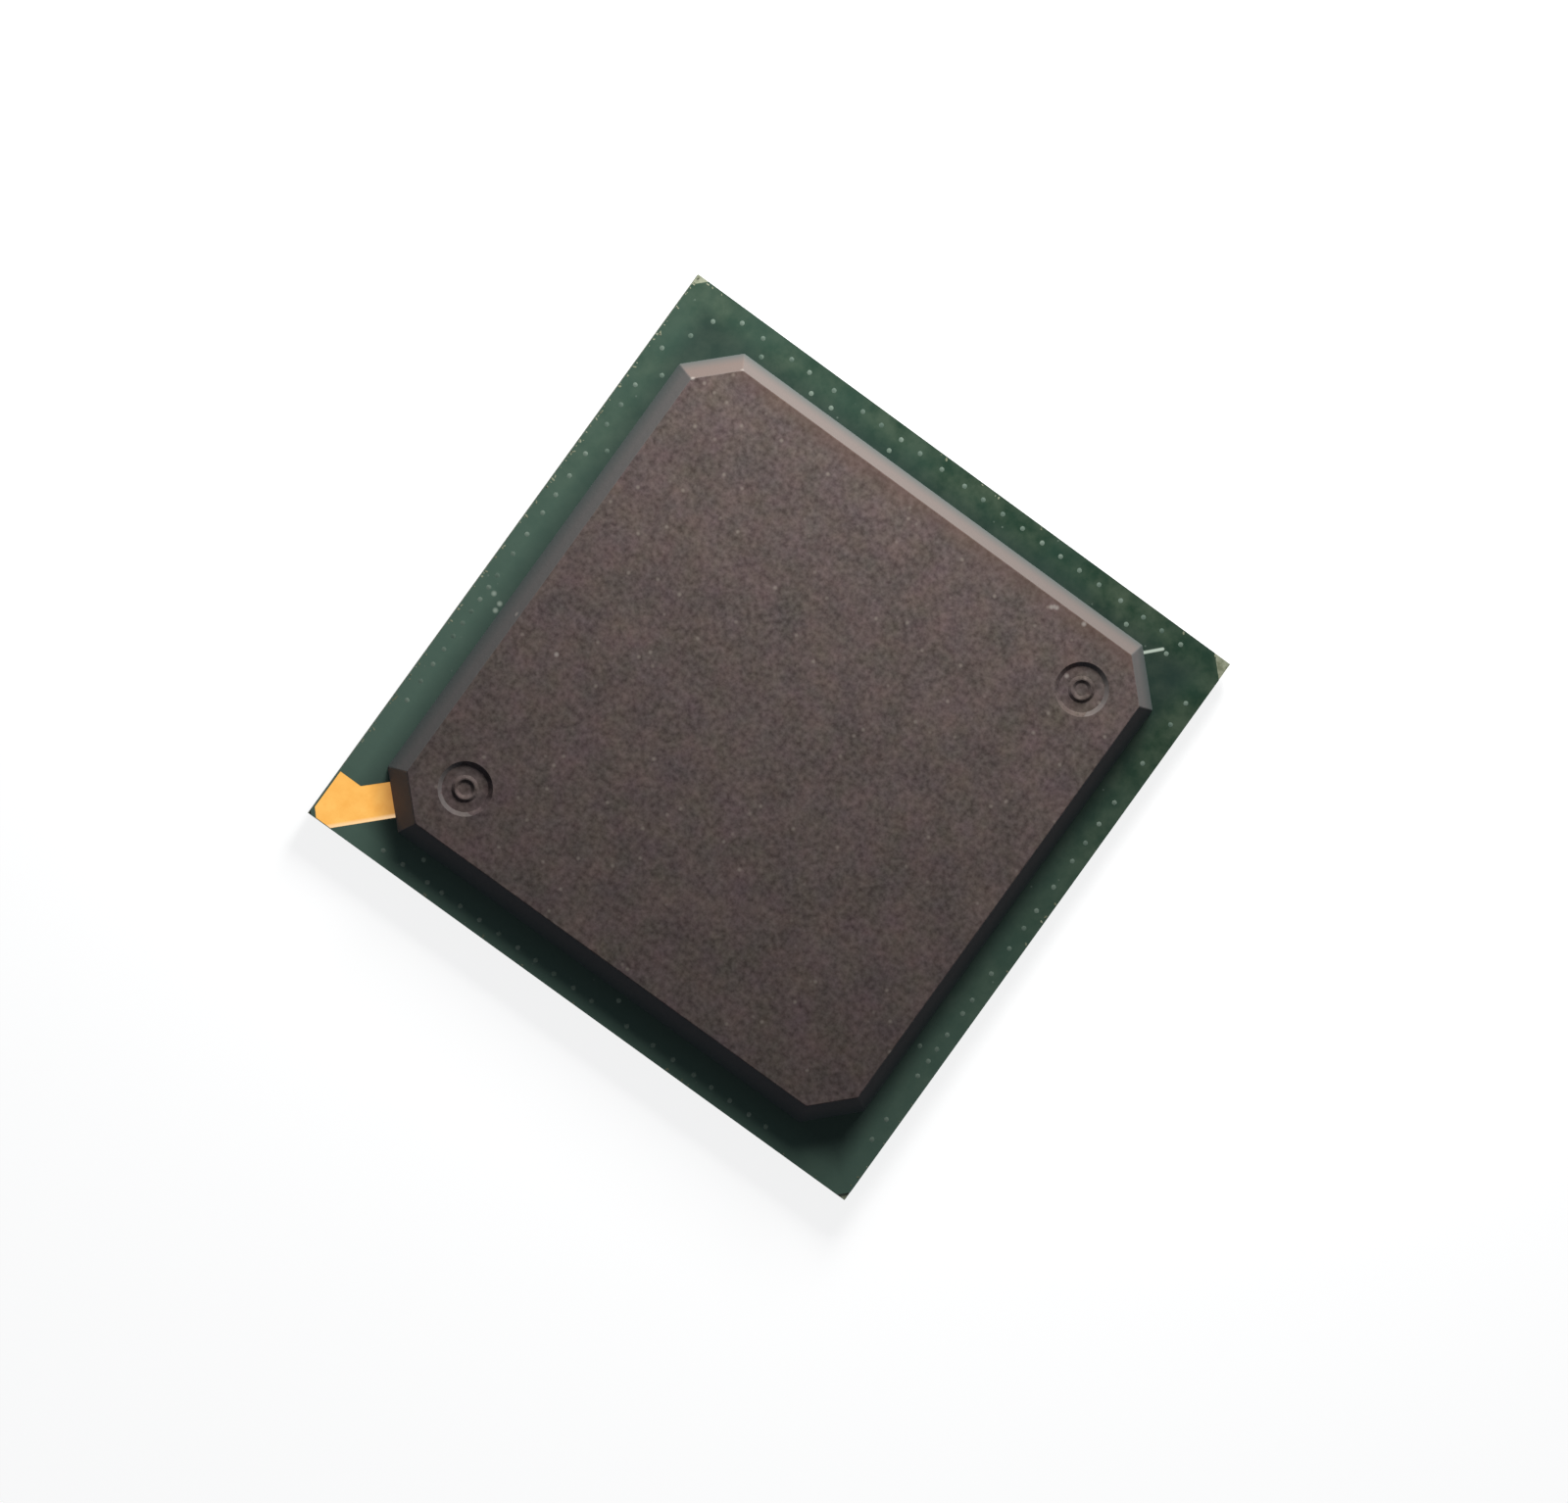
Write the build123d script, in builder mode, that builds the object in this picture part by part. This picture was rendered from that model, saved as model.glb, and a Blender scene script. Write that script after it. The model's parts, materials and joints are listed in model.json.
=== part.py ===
from build123d import *
import math
import os

# A plastic ball grid array. A chip is glued to a laminate board, wired to its copper fingers and
# moulded over, and the board stands on a grid of solder balls.
# Lengths are in millimetres and angles in degrees. The origin is the centre of the seating plane,
# where the balls touch the surface below. +Z points up through the moulded cap.

# Board
body_side = 27.0
standoff = 0.50
mask_thickness = 0.03
outer_copper = 0.03
prepreg_thickness = 0.12
plane_thickness = 0.02
core_thickness = 0.16
plane_pullback = 1.65

# Solder balls, and the openings of the mask that hold their pads
ball_columns = 26
rim_rings = 4
centre_columns = 8
ball_pitch = 1.0
ball_diameter = 0.63
ball_clearance = 0.005
pad_clearance = 0.01

# Plated holes, filled with resin
drill_diameter = 0.25
plating_thickness = 0.025
land_width = 0.10
antipad_gap = 0.15
plug_dome = 0.012
thermal_columns = 5

# Rim holes. A place along a side is a share of the ball pitch, counted from the side's middle.
# Every second hole of the outer row is wired to the chip, but a trace that would cross a hole of
# the second row ends in it: the outer hole's share first, then the second one's
wired_step = 2
rim_inset = 0.55
second_inset = 1.20
back_rim_shares = (-10.90, -9.84, -8.40, -7.50, -6.26, -4.80, -3.86, -2.86, -1.90, -0.80, 0.36,
                   1.30, 2.30, 3.30, 4.30, 5.24, 6.20, 7.20, 8.30, 9.46, 10.40, 11.36)
left_rim_shares = (-7.45, -6.50, -5.65, -4.90, -4.25, -3.60, -3.00, -2.40, -1.80, -1.20, -0.12,
                   0.86, 1.93, 2.84, 3.79, 4.90, 6.37, 7.36, 8.35, 10.21)
right_rim_shares = (-10.83, -9.83, -7.64, -6.90, -6.30, -5.58, -4.50, -3.83, -2.50, -1.24, -0.21,
                    0.67, 1.86, 3.17, 4.09, 5.04, 6.12, 8.10, 10.05, 11.13)
front_rim_shares = (-10.15, -9.18, -7.94, -7.22, -6.29, -5.33, -4.36, -3.40, -2.51, -1.59, -0.60,
                    0.31, 2.08, 3.41, 4.42, 5.47, 6.35, 7.28, 8.25, 9.10)
back_second_shares = (-11.90, -9.46, -6.94, -5.94, -3.00, 9.06, 11.10)
left_second_shares = (5.50, 9.30, 11.30)
right_second_shares = (-6.60,)
front_second_shares = (-8.60, 1.20)
shortened_trace_shares = {("back", -6.26): -5.94}

# Copper on the top of the board
trace_width = 0.08
finger_width = 0.14
finger_length = 0.70
finger_pitch = 0.60
finger_reach = 6.30
paddle_side = 9.0
rail_width = 0.30
rail_gap = 0.35
window_margin = 0.30

# Chip, its glue and its wires
die_side = 7.6
die_thickness = 0.35
glue_thickness = 0.03
glue_margin = 0.10
wire_diameter = 0.03
bond_inset = 0.15
bond_row_gap = 0.20
bond_pitch = 0.55
loop_height = 0.22
low_loop_height = 0.12
foot_height = 0.10
loop_radius = 0.09
foot_radius = 0.06
supply_wire_spacing = 3

# Moulded cap
cap_side = 24.0
cap_height = 1.17
cap_draft = 30.0
cap_corner = 1.90
cap_edge_radius = 0.07
cap_corner_radius = 0.12
ejector_place = 9.0
ejector_diameter = 2.25
ejector_depth = 0.15
ejector_draft = 50.0
pin_ring_diameter = 1.12
pin_ring_width = 0.30
pin_ring_height = 0.09
pin_ring_draft = 54.0

# Gold gate at the first-pin corner. Its outline is in shares of its length from the board's corner
gate_length = 3.0
gate_outline_shares = ((0.02, 0.71), (0.36, 0.71), (0.68, 1.02), (1.02, 0.67), (0.36, 0.01),
                       (0.12, 0.01), (0.02, 0.12))

# Bare laminate where the mask stops short of the board's corners
bare_corners = {(1, 1): 0.80, (-1, 1): 0.50, (-1, -1): 0.14, (1, -1): 0.40}

# Levels, from the seating plane up
pad_bottom = standoff + mask_thickness
laminate_bottom = pad_bottom + outer_copper
power_bottom = laminate_bottom + prepreg_thickness
core_bottom = power_bottom + plane_thickness
ground_bottom = core_bottom + core_thickness
upper_bottom = ground_bottom + plane_thickness
laminate_top = upper_bottom + prepreg_thickness
copper_top = laminate_top + outer_copper
mask_top = copper_top + mask_thickness
glue_top = copper_top + glue_thickness
die_top = glue_top + die_thickness
cap_top = mask_top + cap_height

# Sizes that follow from those above
ball_radius = ball_diameter / 2
mask_face_height = standoff - ball_radius
opening_radius = math.sqrt(ball_radius**2 - mask_face_height**2) + ball_clearance
drill_radius = drill_diameter / 2
plug_radius = drill_radius - plating_thickness
land_radius = drill_radius + land_width
antipad_radius = drill_radius + antipad_gap
rim_out = body_side / 2 - rim_inset
second_out = body_side / 2 - second_inset
ground_rail_out = paddle_side / 2 + rail_gap
power_rail_out = ground_rail_out + rail_width + rail_gap
window_side = 2 * (finger_reach + finger_length + window_margin)
wire_radius = wire_diameter / 2
signal_bond_out = die_side / 2 - bond_inset
supply_bond_out = signal_bond_out - bond_row_gap
signal_foot_out = finger_reach + finger_length / 2

sides = {
    "back": (back_rim_shares, back_second_shares),
    "left": (left_rim_shares, left_second_shares),
    "right": (right_rim_shares, right_second_shares),
    "front": (front_rim_shares, front_second_shares),
}

os.makedirs("parts", exist_ok=True)


def save(built, name):
    """Label a finished piece and write it to its own file."""
    built.part.label = name
    export_step(built.part, f"parts/{name}.step")


def side_point(side, along, out):
    """A point beside one side of the board: along the side, and out from the centre."""
    return {"back": (along, out), "front": (along, -out),
            "left": (-out, along), "right": (out, along)}[side]


def square_corners(half):
    """The four corners of a square about the centre."""
    return [(half, half), (-half, half), (-half, -half), (half, -half)]


# Ball grid
def column_place(column):
    return (column - (ball_columns - 1) / 2) * ball_pitch


def grid_ring(column, row):
    """How many rings a ball stands in from the grid's edge."""
    return min(column, row, ball_columns - 1 - column, ball_columns - 1 - row)


def ball_places(rings):
    """The plan places of the balls that stand in the given rings."""
    return [
        (column_place(column), column_place(row))
        for row in range(ball_columns)
        for column in range(ball_columns)
        if grid_ring(column, row) in rings
    ]


centre_rings = range((ball_columns - centre_columns) // 2, ball_columns // 2)
all_balls = ball_places([*range(rim_rings), *centre_rings])

# Places of the plated holes
wired_vias = {}
spare_places = []
for side, (rim_shares, second_shares) in sides.items():
    wired_vias[side] = [
        (shortened_trace_shares[side, share] * ball_pitch, second_out)
        if (side, share) in shortened_trace_shares else (share * ball_pitch, rim_out)
        for share in rim_shares[::wired_step]
    ]
    holes = [(share * ball_pitch, rim_out) for share in rim_shares]
    holes += [(share * ball_pitch, second_out) for share in second_shares]
    spare_places += [side_point(side, *hole) for hole in holes if hole not in wired_vias[side]]
wired_places = [side_point(side, *via) for side, vias in wired_vias.items() for via in vias]
rim_places = wired_places + spare_places
with GridLocations(ball_pitch, ball_pitch, thermal_columns, thermal_columns) as thermal_grid:
    thermal_places = [(spot.position.X, spot.position.Y) for spot in thermal_grid.local_locations]
ground_rail_places = square_corners(ground_rail_out + rail_width / 2)
power_rail_places = square_corners(power_rail_out + rail_width / 2)
rail_via_places = ground_rail_places + power_rail_places
plane_vias = thermal_places + rail_via_places
via_places = rim_places + plane_vias


def add_strip(start, end, width):
    """Add a straight strip between two points to the sketch being built."""
    middle = ((start[0] + end[0]) / 2, (start[1] + end[1]) / 2)
    turn = math.degrees(math.atan2(end[1] - start[1], end[0] - start[0]))
    with Locations(Location((*middle, 0), (0, 0, turn))):
        Rectangle(math.dist(start, end), width)


def add_discs(places, radius, mode=Mode.ADD):
    """Add or cut a disc at each place of the sketch being built."""
    with Locations(*places):
        Circle(radius, mode=mode)


def copies(piece, places):
    """One piece set down at each plan place, as a part of its own."""
    with BuildPart() as group:
        with Locations(*[(x, y, 0) for x, y in places]):
            add(piece.part, clean=False)
    return group


def slab(outline, level, thickness):
    """A flat outline given a thickness at a level."""
    with BuildPart() as sheet:
        with BuildSketch(Plane.XY.offset(level)):
            add(outline.sketch, clean=False)
        extrude(amount=thickness, clean=False)
    return sheet


# Solder balls: spheres that melt flat onto their pads
with BuildPart() as ball:
    with BuildSketch(Plane.XZ):
        with BuildLine():
            pad_level = pad_bottom - ball_radius
            neck = math.sqrt(ball_radius**2 - pad_level**2)
            ThreePointArc((0, 0), (ball_radius, ball_radius), (neck, pad_bottom))
            Polyline((neck, pad_bottom), (0, pad_bottom), (0, 0))
        make_face()
    revolve(axis=Axis.Z)

ball_groups = {f"solder_balls_ring_{ring + 1}": [ring] for ring in range(rim_rings)}
ball_groups["solder_balls_centre"] = centre_rings
for group, rings in ball_groups.items():
    save(copies(ball, ball_places(rings)), group)

# Copper pad over each ball
with BuildPart() as pad:
    with BuildSketch(Plane.XY.offset(pad_bottom)):
        Circle(opening_radius - pad_clearance)
    extrude(amount=outer_copper)
save(copies(pad, all_balls), "ball_pads")

# Mask under the board, open round each pad
with BuildPart() as bottom_mask:
    with BuildSketch(Plane.XY.offset(standoff)):
        Rectangle(body_side, body_side)
        add_discs(all_balls, opening_radius, mode=Mode.SUBTRACT)
    extrude(amount=mask_thickness + outer_copper, clean=False)
save(bottom_mask, "bottom_solder_mask")


# Inner copper planes: sheets that clear the holes of other nets
def plane_outline(joined):
    """A plane with tight holes where it joins a plated hole and wide ones elsewhere."""
    with BuildSketch() as sheet:
        Rectangle(body_side - 2 * plane_pullback, body_side - 2 * plane_pullback)
        add_discs([place for place in plane_vias if place not in joined], antipad_radius,
                  mode=Mode.SUBTRACT)
        add_discs(joined, drill_radius, mode=Mode.SUBTRACT)
    return sheet


power_outline = plane_outline(power_rail_places)
ground_outline = plane_outline(thermal_places + ground_rail_places)
power_plane = slab(power_outline, power_bottom, plane_thickness)
ground_plane = slab(ground_outline, ground_bottom, plane_thickness)
save(power_plane, "power_plane")
save(ground_plane, "ground_plane")

# Laminate: glass cloth in resin, drilled for the plated holes and pressed round the planes
with BuildSketch() as drilled_sheet:
    Rectangle(body_side, body_side)
    add_discs(via_places, drill_radius, mode=Mode.SUBTRACT)
save(slab(drilled_sheet, core_bottom, core_thickness), "core_laminate")

with BuildPart() as lower_prepreg:
    add(slab(drilled_sheet, laminate_bottom, prepreg_thickness + plane_thickness).part)
    add(power_plane.part, mode=Mode.SUBTRACT, clean=False)
save(lower_prepreg, "lower_prepreg")

with BuildPart() as upper_prepreg:
    add(slab(drilled_sheet, ground_bottom, plane_thickness + prepreg_thickness).part)
    add(ground_plane.part, mode=Mode.SUBTRACT, clean=False)
save(upper_prepreg, "upper_prepreg")

# Plated holes: a copper barrel through the laminate, filled with pale resin
with BuildPart() as barrel:
    with BuildSketch(Plane.XY.offset(laminate_bottom)):
        Circle(drill_radius)
        Circle(plug_radius, mode=Mode.SUBTRACT)
    extrude(amount=laminate_top - laminate_bottom)
save(copies(barrel, rim_places), "rim_via_barrels")
save(copies(barrel, thermal_places), "thermal_via_barrels")
save(copies(barrel, rail_via_places), "rail_via_barrels")

with BuildPart() as domed_plug:
    with BuildSketch(Plane.XZ):
        with BuildLine():
            Polyline((0, mask_top + plug_dome), (0, laminate_bottom),
                     (plug_radius, laminate_bottom), (plug_radius, mask_top))
            dome_radius = (plug_radius**2 + plug_dome**2) / (2 * plug_dome)
            RadiusArc((plug_radius, mask_top), (0, mask_top + plug_dome), -dome_radius)
        make_face()
    revolve(axis=Axis.Z)
save(copies(domed_plug, rim_places), "rim_via_plugs")

with BuildPart() as flush_plug:
    with BuildSketch(Plane.XY.offset(laminate_bottom)):
        Circle(plug_radius)
    extrude(amount=copper_top - laminate_bottom)
save(copies(flush_plug, plane_vias), "inner_via_plugs")


# Copper on the board: fingers and traces, the supply rails, the chip's paddle and the gold gate
def finger_place(count, index):
    return (index - (count - 1) / 2) * finger_pitch


net_outlines = []
for side, vias in wired_vias.items():
    for index, via in enumerate(vias):
        along = finger_place(len(vias), index)
        finger_end = side_point(side, along, finger_reach + finger_length)
        land = side_point(side, *via)
        with BuildSketch() as net:
            add_strip(side_point(side, along, finger_reach), finger_end, finger_width)
            add_strip(finger_end, land, trace_width)
            add_discs([land], land_radius)
            add_discs([land], plug_radius, mode=Mode.SUBTRACT)
        net_outlines.append(net.sketch)
with BuildSketch() as nets:
    add(net_outlines, clean=False)
save(slab(nets, laminate_top, outer_copper), "signal_nets")

with BuildPart() as spare_land:
    with BuildSketch(Plane.XY.offset(laminate_top)):
        Circle(land_radius)
        Circle(plug_radius, mode=Mode.SUBTRACT)
    extrude(amount=outer_copper)
save(copies(spare_land, spare_places), "spare_via_lands")


def rail_outline(out, places):
    """A square copper rail about the chip."""
    with BuildSketch() as rail:
        Rectangle(2 * (out + rail_width), 2 * (out + rail_width))
        Rectangle(2 * out, 2 * out, mode=Mode.SUBTRACT)
        add_discs(places, land_radius)
        add_discs(places, plug_radius, mode=Mode.SUBTRACT)
    return rail


ground_rail = rail_outline(ground_rail_out, ground_rail_places)
power_rail = rail_outline(power_rail_out, power_rail_places)
save(slab(ground_rail, laminate_top, outer_copper), "ground_rail")
save(slab(power_rail, laminate_top, outer_copper), "power_rail")

with BuildSketch() as paddle:
    Rectangle(paddle_side, paddle_side)
    add_discs(thermal_places, plug_radius, mode=Mode.SUBTRACT)
save(slab(paddle, laminate_top, outer_copper), "die_paddle")

with BuildSketch() as gate:
    with BuildLine():
        Polyline(*[(x_share * gate_length - body_side / 2, y_share * gate_length - body_side / 2)
                   for x_share, y_share in gate_outline_shares], close=True)
    make_face()
save(slab(gate, laminate_top, outer_copper), "gate_land")

# Mask on the board: fills between the copper, with a window for the wires, a bare gate and
# bare corners
with BuildSketch() as mask_outline:
    Rectangle(body_side, body_side)
    Rectangle(window_side, window_side, mode=Mode.SUBTRACT)
    for (x_sign, y_sign), bare in bare_corners.items():
        with Locations((x_sign * body_side / 2, y_sign * body_side / 2)):
            Polygon((0, 0), (-x_sign * bare, 0), (0, -y_sign * bare), align=None,
                    mode=Mode.SUBTRACT)
    add(gate.sketch, mode=Mode.SUBTRACT)
    add_discs(rim_places, plug_radius, mode=Mode.SUBTRACT)

with BuildPart() as top_mask:
    with BuildSketch(Plane.XY.offset(laminate_top)):
        add(mask_outline.sketch)
        add(nets.sketch, mode=Mode.SUBTRACT, clean=False)
        add_discs(spare_places, land_radius, mode=Mode.SUBTRACT)
    extrude(amount=outer_copper, clean=False)
    with BuildSketch(Plane.XY.offset(copper_top)):
        add(mask_outline.sketch)
    extrude(amount=mask_thickness, clean=False)
save(top_mask, "top_solder_mask")

# Chip and the glue under it
with BuildPart() as glue:
    with BuildSketch(Plane.XY.offset(copper_top)):
        Rectangle(die_side + 2 * glue_margin, die_side + 2 * glue_margin)
    extrude(amount=glue_thickness)
save(glue, "die_attach")

with BuildPart() as die:
    with BuildSketch(Plane.XY.offset(glue_top)):
        Rectangle(die_side, die_side)
    extrude(amount=die_thickness)
save(die, "silicon_die")


# Bond wires: up from the chip, over in one long run and down onto the copper
def bond_wire(start, end, loop):
    """One wire from a bond on the chip to a foot on the copper, both given in plan."""
    with BuildPart() as wire:
        with BuildLine() as path:
            FilletPolyline((*start, die_top), (*start, die_top + loop),
                           (*end, copper_top + foot_height), (*end, copper_top),
                           radius=[loop_radius, foot_radius])
        with BuildSketch(Plane.XY.offset(die_top)):
            with Locations(start):
                Circle(wire_radius)
        sweep(path=path.line)
    return wire.part


signal_wire_list = []
supply_wire_list = []
for side, vias in wired_vias.items():
    count = len(vias)
    for index in range(count):
        step = index - (count - 1) / 2
        signal_wire_list.append(bond_wire(
            side_point(side, step * bond_pitch, signal_bond_out),
            side_point(side, finger_place(count, index), signal_foot_out), loop_height))
        if index % supply_wire_spacing == 0:
            # A supply wire stands half a pitch beside a signal wire and fans out with it
            middle_step = step + 1 / 2
            rail_out = power_rail_out if index % 2 else ground_rail_out
            foot_out = rail_out + rail_width / 2
            fan = (foot_out - supply_bond_out) / (signal_foot_out - supply_bond_out)
            foot_pitch = bond_pitch + (finger_pitch - bond_pitch) * fan
            supply_wire_list.append(bond_wire(
                side_point(side, middle_step * bond_pitch, supply_bond_out),
                side_point(side, middle_step * foot_pitch, foot_out), low_loop_height))

with BuildPart() as signal_wires:
    add(signal_wire_list, clean=False)
save(signal_wires, "signal_wires")

with BuildPart() as supply_wires:
    add(supply_wire_list, clean=False)
save(supply_wires, "supply_wires")

# Moulded cap: drafted walls, cut corners, two ejector marks, and compound round all that it holds
with BuildPart() as cap:
    with BuildSketch(Plane.XY.offset(mask_top)):
        Rectangle(cap_side, cap_side)
        chamfer(vertices(), length=cap_corner)
    extrude(amount=cap_height, taper=cap_draft)
    slanted = edges().filter_by(Axis.Z, reverse=True).filter_by(Plane.XY, reverse=True)
    fillet(slanted, radius=cap_corner_radius)
    fillet(edges().group_by(Axis.Z)[-1], radius=cap_edge_radius)

    for place in (ejector_place, -ejector_place):
        with BuildSketch(Plane.XY.offset(cap_top)):
            with Locations((place, place)):
                Circle(ejector_diameter / 2)
        extrude(amount=-ejector_depth, taper=ejector_draft, mode=Mode.SUBTRACT)
        with BuildSketch(Plane.XY.offset(cap_top - ejector_depth)):
            with Locations((place, place)):
                Circle(pin_ring_diameter / 2)
                Circle(pin_ring_diameter / 2 - pin_ring_width, mode=Mode.SUBTRACT)
        extrude(amount=pin_ring_height, taper=pin_ring_draft)

    with BuildSketch(Plane.XY.offset(laminate_top)):
        Rectangle(window_side, window_side)
        add(nets.sketch, mode=Mode.SUBTRACT, clean=False)
        add(ground_rail.sketch, mode=Mode.SUBTRACT)
        add(power_rail.sketch, mode=Mode.SUBTRACT)
        Rectangle(paddle_side, paddle_side, mode=Mode.SUBTRACT)
        add_discs(rail_via_places, plug_radius, mode=Mode.SUBTRACT)
    extrude(amount=outer_copper, clean=False)
    with BuildSketch(Plane.XY.offset(copper_top)):
        Rectangle(window_side, window_side)
    extrude(amount=mask_top - copper_top, clean=False)
    add(glue.part, mode=Mode.SUBTRACT, clean=False)
    add(die.part, mode=Mode.SUBTRACT, clean=False)
    add(signal_wire_list + supply_wire_list, mode=Mode.SUBTRACT, clean=False)
save(cap, "mould_cap")
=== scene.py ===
"""Dresses a ball grid array chip: its finishes, its marks of wear and the studio round it."""

import json
import logging
import math
import random
from dataclasses import dataclass
from enum import Enum
from typing import Any

import bmesh
import bpy
from mathutils import Matrix, Quaternion, Vector

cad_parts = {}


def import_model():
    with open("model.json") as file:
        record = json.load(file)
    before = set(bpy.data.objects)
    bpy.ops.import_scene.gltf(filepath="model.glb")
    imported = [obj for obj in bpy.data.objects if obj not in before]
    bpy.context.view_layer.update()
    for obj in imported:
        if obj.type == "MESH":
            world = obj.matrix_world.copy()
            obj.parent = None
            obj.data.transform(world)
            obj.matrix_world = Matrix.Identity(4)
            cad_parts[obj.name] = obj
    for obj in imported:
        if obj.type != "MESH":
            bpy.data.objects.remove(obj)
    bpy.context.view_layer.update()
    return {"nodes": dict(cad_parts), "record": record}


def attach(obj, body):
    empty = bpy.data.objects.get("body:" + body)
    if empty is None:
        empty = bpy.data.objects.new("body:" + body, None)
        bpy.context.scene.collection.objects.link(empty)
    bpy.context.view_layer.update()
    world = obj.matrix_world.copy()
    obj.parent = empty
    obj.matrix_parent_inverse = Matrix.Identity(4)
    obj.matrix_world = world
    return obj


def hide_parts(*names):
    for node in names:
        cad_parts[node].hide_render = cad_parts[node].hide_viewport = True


MM = 0.001
# The numbers of a Mix node's sockets when it mixes colours.
MIX_FACTOR, MIX_FIRST, MIX_SECOND, MIX_RESULT = 0, 6, 7, 2
# A spot has its full strength over this share of its reach.
SPOT_CORE = 1 / 3
LOG = logging.getLogger("chip")


def linear(code: str) -> tuple[float, float, float, float]:
    """Turns an sRGB hex colour to linear light.

    Args:
        code: the colour as "#rrggbb".

    Returns:
        Red, green, blue and a full alpha.
    """
    parts = [int(code[place:place + 2], 16) / 255 for place in (1, 3, 5)]
    light = [part / 12.92 if part <= 0.04045 else ((part + 0.055) / 1.055) ** 2.4
             for part in parts]
    return light[0], light[1], light[2], 1.0


def per_metre(size_mm: float) -> float:
    """Gives the texture scale at which one feature is about size_mm long."""
    return 1 / (size_mm * MM)


def add_node(tree: bpy.types.NodeTree, kind: str, inputs: dict | None = None,
             **settings: Any) -> bpy.types.Node:
    """Adds one shader node.

    Args:
        tree: the node tree that gets it.
        kind: its type.
        inputs: a value, or an output to link, for each input socket by name or number.
        settings: its own settings.

    Returns:
        The new node.
    """
    node = tree.nodes.new(kind)
    for key, value in settings.items():
        setattr(node, key, value)
    for key, value in (inputs or {}).items():
        if isinstance(value, bpy.types.NodeSocket):
            tree.links.new(value, node.inputs[key])
        else:
            node.inputs[key].default_value = value
    return node


def start_material(
        name: str) -> tuple[bpy.types.Material, bpy.types.NodeTree, bpy.types.NodeSocket]:
    """Makes an empty material.

    Args:
        name: its name.

    Returns:
        The material, its node tree and its object coordinates.
    """
    material = bpy.data.materials.new(name)
    material.use_nodes = True
    tree = material.node_tree
    tree.nodes.clear()
    return material, tree, add_node(tree, "ShaderNodeTexCoord").outputs["Object"]


def reach_of(tree: bpy.types.NodeTree, place: bpy.types.NodeSocket) -> bpy.types.NodeSocket:
    """Gives how far a point lies from the middle, by the larger of its X and Y distances.

    Args:
        tree: the material's node tree.
        place: its object coordinates.

    Returns:
        The distance.
    """
    parts = add_node(tree, "ShaderNodeSeparateXYZ", {
        0: add_node(tree, "ShaderNodeVectorMath", {0: place}, operation="ABSOLUTE").outputs[0]})
    return add_node(tree, "ShaderNodeMath", {
        0: parts.outputs["X"], 1: parts.outputs["Y"]}, operation="MAXIMUM").outputs[0]


def spots(tree: bpy.types.NodeTree, place: bpy.types.NodeSocket,
          places_mm: tuple[tuple[float, float, float], ...], reach_mm: float,
          strength: float) -> bpy.types.NodeSocket:
    """Gives the share of small round spots.

    Args:
        tree: the material's node tree.
        place: its object coordinates.
        places_mm: the spots' middles.
        reach_mm: how far each spot reaches from its middle.
        strength: the share in a spot's middle.

    Returns:
        The share: the strength in a spot's middle and 0 away from them.
    """
    total = None
    for spot in places_mm:
        away = add_node(tree, "ShaderNodeVectorMath", {0: place, 1: Vector(spot) * MM},
                        operation="DISTANCE")
        near = add_node(tree, "ShaderNodeMapRange", {
            "Value": away.outputs["Value"], "From Min": reach_mm * MM,
            "From Max": reach_mm * MM * SPOT_CORE, "To Max": strength})
        total = near.outputs[0] if total is None else add_node(tree, "ShaderNodeMath", {
            0: total, 1: near.outputs[0]}, operation="MAXIMUM").outputs[0]
    return total


def end_material(tree: bpy.types.NodeTree, inputs: dict) -> None:
    """Adds the surface shader with its inputs and links it to the output."""
    surface = add_node(tree, "ShaderNodeBsdfPrincipled", inputs)
    add_node(tree, "ShaderNodeOutputMaterial", {"Surface": surface.outputs["BSDF"]})


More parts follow.
